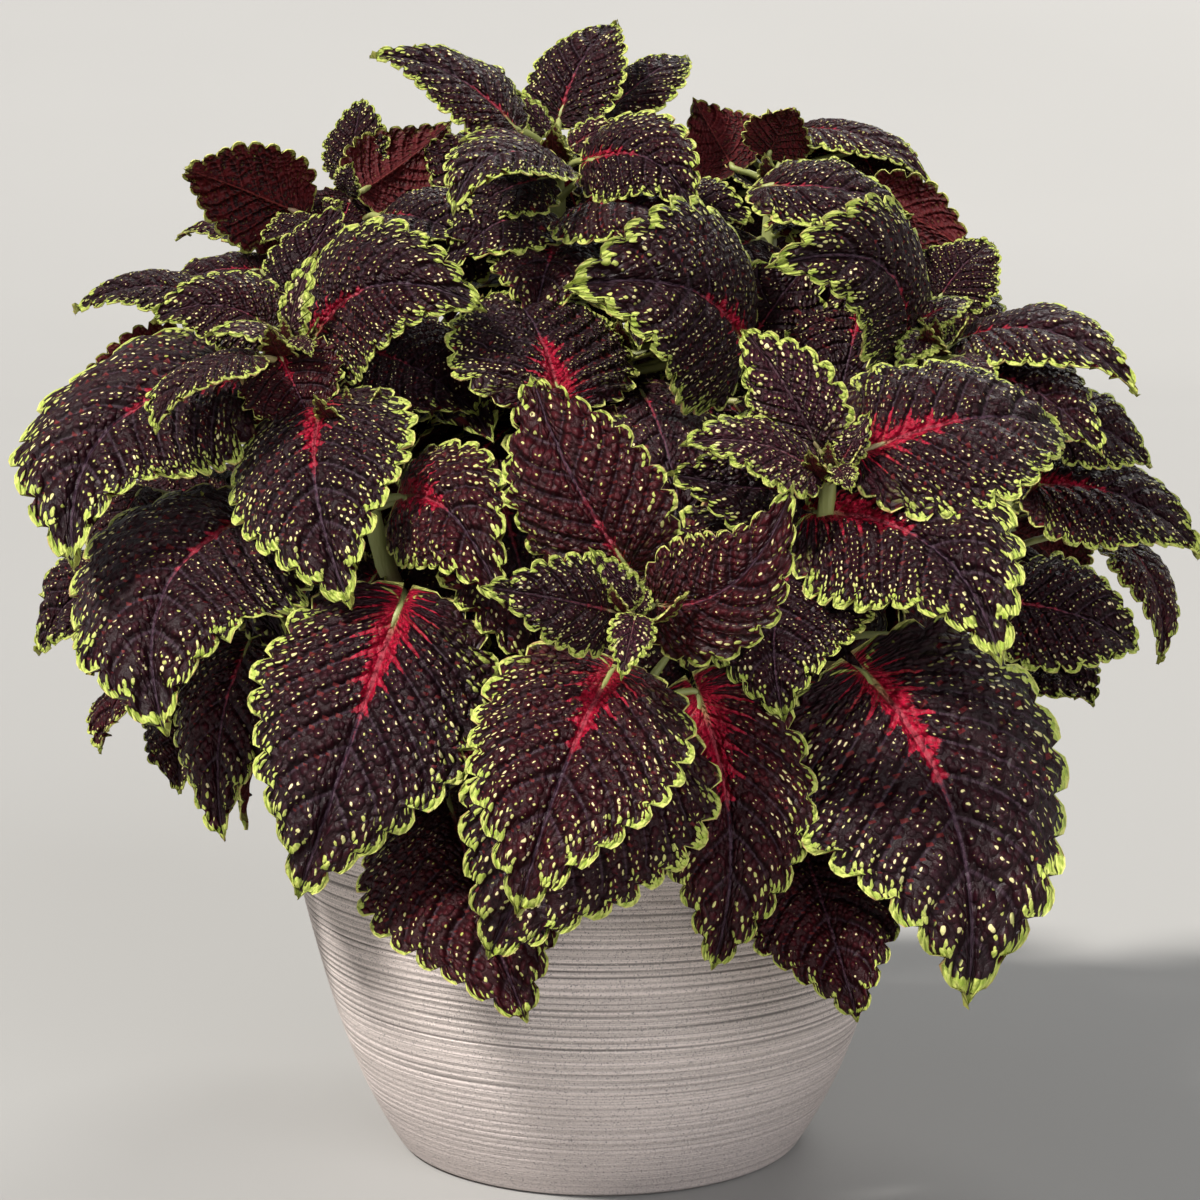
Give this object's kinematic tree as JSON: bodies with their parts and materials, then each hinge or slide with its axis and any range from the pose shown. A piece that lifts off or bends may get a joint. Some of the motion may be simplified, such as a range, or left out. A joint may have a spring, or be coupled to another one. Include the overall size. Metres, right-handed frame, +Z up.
{
  "type": "potted coleus",
  "caption": "Bushy coleus with dark, lime-edged, crenate leaves on branching leafy stems, standing in soil in a bowl planter with fine turned grooves.",
  "frame": {"origin": "centre of the planter's flat foot, on the surface it stands on", "axes": "+Z up, -Y is the side that the plant is seen from, +X is to the right as seen from there"},
  "size_m": [0.4658, 0.4548, 0.4654],
  "materials": {
    "stoneware": "matte, fine turned grooves, warm pale grey with darker streaks in the grooves",
    "potting_mix": "dark crumbly potting mix",
    "foliage": "velvety dark burgundy leaves with lime green teeth, lime specks and crimson bases, on pale green square stems"
  },
  "bodies": {
    "root": {"pot": "stoneware", "soil": "potting_mix", "shoot_top": "foliage", "shoot_back_left": "foliage", "shoot_left": "foliage", "shoot_middle": "foliage", "shoot_upper_right": "foliage", "shoot_back_right": "foliage", "shoot_right": "foliage", "shoot_front": "foliage", "shoot_front_left": "foliage", "shoot_lower_left": "foliage", "shoot_lower_right": "foliage", "shoot_back": "foliage", "shoot_far_left": "foliage", "shoot_far_right": "foliage", "shoot_side_left": "foliage", "shoot_side_right": "foliage"}
  },
  "joints": []
}
